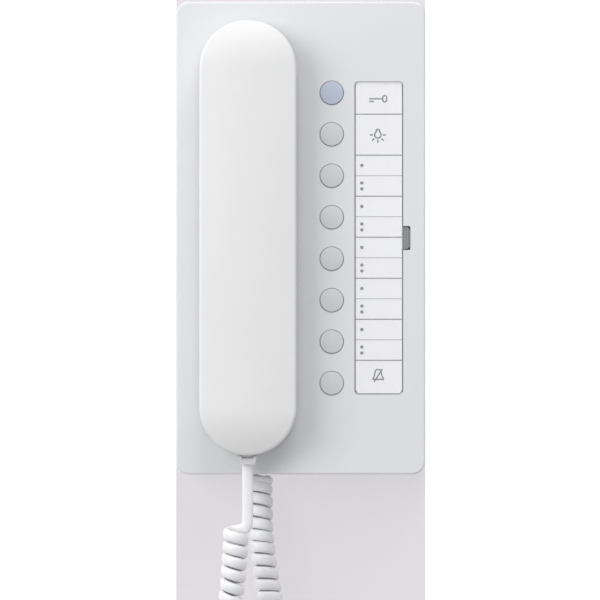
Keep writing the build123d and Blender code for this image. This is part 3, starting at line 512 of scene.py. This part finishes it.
# What each finish is made of and what that gives the eye. Grain sizes and depths are millimetres.
finishes = {
    # ABS moulded in a finely spark-eroded tool: an even cool light grey with a broad, dull sheen.
    "housing_white": moulded("moulded_abs_light_grey", "#DEDFE0", "#E0E1E2", 0.5, 0.35, 0.006),
    # The same ABS in white from a smoother tool: a softer, brighter sheen along the crown.
    "handset_white": moulded("moulded_abs_white", "#E4E4E4", "#E6E6E6", 0.42, 0.35, 0.004),
    # ABS of the plate against the wall, from a coarser tool: darker and flatter.
    "plate_grey": moulded("moulded_abs_grey", "#C4C6C8", "#C9CBCD", 0.55, 0.4, 0.008),
    # Buttons moulded in dyed ABS: plain grey, and pale blue for the door.
    "button_grey": moulded("button_abs_grey", "#D0D1D3", "#D3D4D6", 0.45, 0.3, 0.004),
    "button_blue": moulded("button_abs_blue", "#B8C2D3", "#BCC6D6", 0.45, 0.3, 0.004),
    # The small catch, coloured mid grey, dull between its ribs.
    "catch_grey": moulded("catch_abs_grey", "#9B9FA1", "#A1A5A7", 0.5, 0.3, 0.004),
    # Glass-filled polyamide of the terminal block: matt, with a slight grain.
    "terminal_grey": moulded("terminal_polyamide", "#8E9294", "#989C9E", 0.55, 0.5, 0.01),
    # PBT of switches, jacks and chip: near-black and half matt; it also colours the painted shade of the
    # black sheet in the catch's pocket.
    "part_black": moulded("part_pbt_black", "#202224", "#27292B", 0.5, 0.4, 0.01),
    # PBT of the ear and ringer capsules: dark grey and half matt.
    "capsule_grey": moulded("capsule_pbt_grey", "#4A4D50", "#535659", 0.5, 0.4, 0.01),
    # Silicone rubber of the microphone's boot: dark, soft and without gloss.
    "boot_rubber": moulded("boot_silicone_rubber", "#26282A", "#2E3032", 0.7, 0.6, 0.02),
    # Extruded PVC of the inner wires: smooth and glossy red.
    "wire_red": moulded("wire_pvc_red", "#A8261F", "#B32C24", 0.35, 0.8, 0.01),
    # Polycarbonate of the modular plugs: glossier than ABS, with a higher index.
    "plug_clear": moulded("plug_polycarbonate", "#DCDCDD", "#E0E0E1", 0.22, 0.6, 0.002, ior=1.58),
    # Extruded soft PVC of the cord's jacket: white with a satin gloss on each curl.
    "cord_white": moulded("cord_jacket_pvc", "#EDEDEE", "#F0F0F1", 0.38, 0.5, 0.004),
    # Coated paper of the label strip: white and matt, with a hardly visible fibre.
    "label_paper": moulded("label_paper_coated", "#F0F0F2", "#F3F3F5", 0.6, 0.15, 0.003),
    # Zinc-plated steel screws: bright with a slight scatter from the plating bath.
    "screw_steel": metal("screw_zinc_plated", "#B9BCC0", "#C6C9CC", 0.32, 0.3, 0.004),
    # Drawn aluminium cans of the capacitors: smooth and mirror-like at a low angle.
    "capacitor_can": metal("capacitor_aluminium", "#B4B6B9", "#C0C2C4", 0.3, 0.4, 0.003),
    # Epoxy board under green solder mask: glossy, mottled by the copper below it.
    "board_green": moulded("board_solder_mask", "#1F5A3A", "#2A6B47", 0.35, 0.8, 0.01),
    # Open-cell polyurethane foam: black, rough, with pores of about half a millimetre.
    "foam_black": moulded("foam_polyurethane", "#1D1E20", "#2B2C2E", 0.9, 0.5, 0.15),
}


def clear_window():
    """Clear acrylic strip: nearly see-through, with a gloss."""
    made, tree, shader, place = material("window_acrylic_clear")
    textured(tree, shader, place, 8, 0.01)
    shade(shader, Base_Color=srgb("#FFFFFF"), Roughness=0.12, IOR=1.49, Alpha=0.12)
    return made


def ink(name, low, high):
    """Offset printing ink, dull and thin."""
    made, tree, shader, place = material(name)
    tree.links.new(mottled(tree, place, 1, low, high), shader.inputs["Base Color"])
    shade(shader, Roughness=0.6)
    return made


finishes["label_clear"] = clear_window()
# The dark ink prints the rules and symbols and also paints the shade in the gaps beside the window.
dark_ink_and_shade = ink("ink_and_shade_dark_grey", "#5E5E60", "#666668")
pale_ink = ink("ink_pale_grey", "#AAAAAC", "#B0B0B2")


def dress(thing, finish):
    """Gives an object one material."""
    thing.data.materials.clear()
    thing.data.materials.append(finish)


for row in frame["record"]["subparts"]:
    dress(frame["nodes"][row["node"]], finishes[row["material_slot"]])
dress(window, finishes["label_clear"])
dress(handset_leg, finishes["cord_white"])
dress(housing_leg, finishes["cord_white"])
# The catch pocket's sheet takes the black PBT's finish to paint shade; the half rules are pale print.
print_finishes = {"label_half_rules": pale_ink, "catch_pocket_shade": finishes["part_black"]}
for name in prints:
    dress(bpy.data.objects[name], print_finishes.get(name, dark_ink_and_shade))

# Wall and light

# Strengths of the wall's own light, the backdrop's as a camera sees it, and the room's fill.
WALL_GLOW = 0.57
BACKDROP_GLOW = 0.6
ROOM_FILL = 0.465


def one_sided(name, build):
    """Stage paint that is see-through from behind, so that the wall never hides the station's back."""
    made, tree, shader, place = material(name)
    build(tree, shader, place)
    output = tree.nodes["Material Output"]
    clear = add(tree, "ShaderNodeBsdfTransparent")
    behind = add(tree, "ShaderNodeNewGeometry").outputs["Backfacing"]
    both = add(tree, "ShaderNodeMixShader", [("Fac", behind)])
    tree.links.new(shader.outputs["BSDF"], both.inputs[1])
    tree.links.new(clear.outputs["BSDF"], both.inputs[2])
    tree.links.new(both.outputs["Shader"], output.inputs["Surface"])
    return made


def plain_sight(tree):
    """1 for rays from the camera and for those that polished or clear pieces pass on, else 0."""
    path = add(tree, "ShaderNodeLightPath")
    seen = path.outputs["Is Camera Ray"]
    for ray in ("Is Glossy Ray", "Is Transmission Ray"):
        either = add(tree, "ShaderNodeMath", [(0, seen), (1, path.outputs[ray])], operation="MAXIMUM")
        seen = either.outputs["Value"]
    return seen


def wall_paint(tree, shader, place):
    """Pale emulsion paint; most of its light is the same all over, so that it takes little shadow."""
    tree.links.new(mottled(tree, place, 40, "#736F75", "#757177"), shader.inputs["Base Color"])
    textured(tree, shader, place, 1.5, 0.02)
    shade(shader, Emission_Color=srgb("#FFFDFF"), Emission_Strength=WALL_GLOW, Roughness=0.8)


def white_paint(tree, shader, place):
    """White that a camera sees a little brighter than lit paint, and that still takes a shadow."""
    glow = add(tree, "ShaderNodeMath", [(0, plain_sight(tree)), (1, BACKDROP_GLOW)], operation="MULTIPLY")
    tree.links.new(glow.outputs["Value"], shader.inputs["Emission Strength"])
    shade(shader, Base_Color=srgb("#F4F4F4"), Emission_Color=srgb("#FFFFFF"), Roughness=0.9)


def flat_panel(name, half_width, half_height, depth):
    """Upright stage panel that faces the viewer, a depth behind the station's back."""
    corners = [(-1, -1), (1, -1), (1, 1), (-1, 1)]
    points = np.array([(x * half_width, depth, z * half_height) for x, z in corners])
    panel = piece(name, [(points, [[0, 1, 2, 3]])], smooth=False)
    return panel


# The photograph shows a strip of wall hardly wider than the housing, and plain white beside it.
wall = flat_panel("wall_strip", half_width=0.0536, half_height=0.6, depth=0.0002)
dress(wall, one_sided("wall_emulsion_pale", wall_paint))
backdrop = flat_panel("backdrop", half_width=3.0, half_height=3.0, depth=0.0012)
dress(backdrop, one_sided("backdrop_white", white_paint))

world = bpy.data.worlds.new("studio")
bpy.context.scene.world = world
world.use_nodes = True
tree = world.node_tree
fill = tree.nodes["Background"]
fill.inputs["Color"].default_value = srgb("#FDFDFF")
fill.inputs["Strength"].default_value = ROOM_FILL
plain = add(tree, "ShaderNodeBackground", [("Color", srgb("#FFFFFF")), ("Strength", 1.0)])
mix = add(tree, "ShaderNodeMixShader", [("Fac", plain_sight(tree))])
tree.links.new(fill.outputs["Background"], mix.inputs[1])
tree.links.new(plain.outputs["Background"], mix.inputs[2])
tree.links.new(mix.outputs["Shader"], tree.nodes["World Output"].inputs["Surface"])


def lamp_at(name, place, power, size):
    """Square soft light of a power in watts and a size in metres, which faces the origin."""
    data = bpy.data.lights.new(name, "AREA")
    data.energy, data.size = power, size
    made = bpy.data.objects.new(name, data)
    made.location = place
    x, y, z = place
    made.rotation_euler = (math.acos(z / math.hypot(x, y, z)), 0, math.atan2(-y, -x) - math.pi / 2)
    bpy.context.scene.collection.objects.link(made)


# The key stands far to the left, for the handset's wide shadow on the housing.
lamp_at("key_light", (-1.4, -1.75, 0.7), 22, 1.3)
lamp_at("side_light", (-2.0, -0.9, 0.4), 5, 1.0)
lamp_at("top_light", (0.3, -1.0, 1.7), 18, 1.2)
bpy.context.scene.view_settings.view_transform = "Standard"
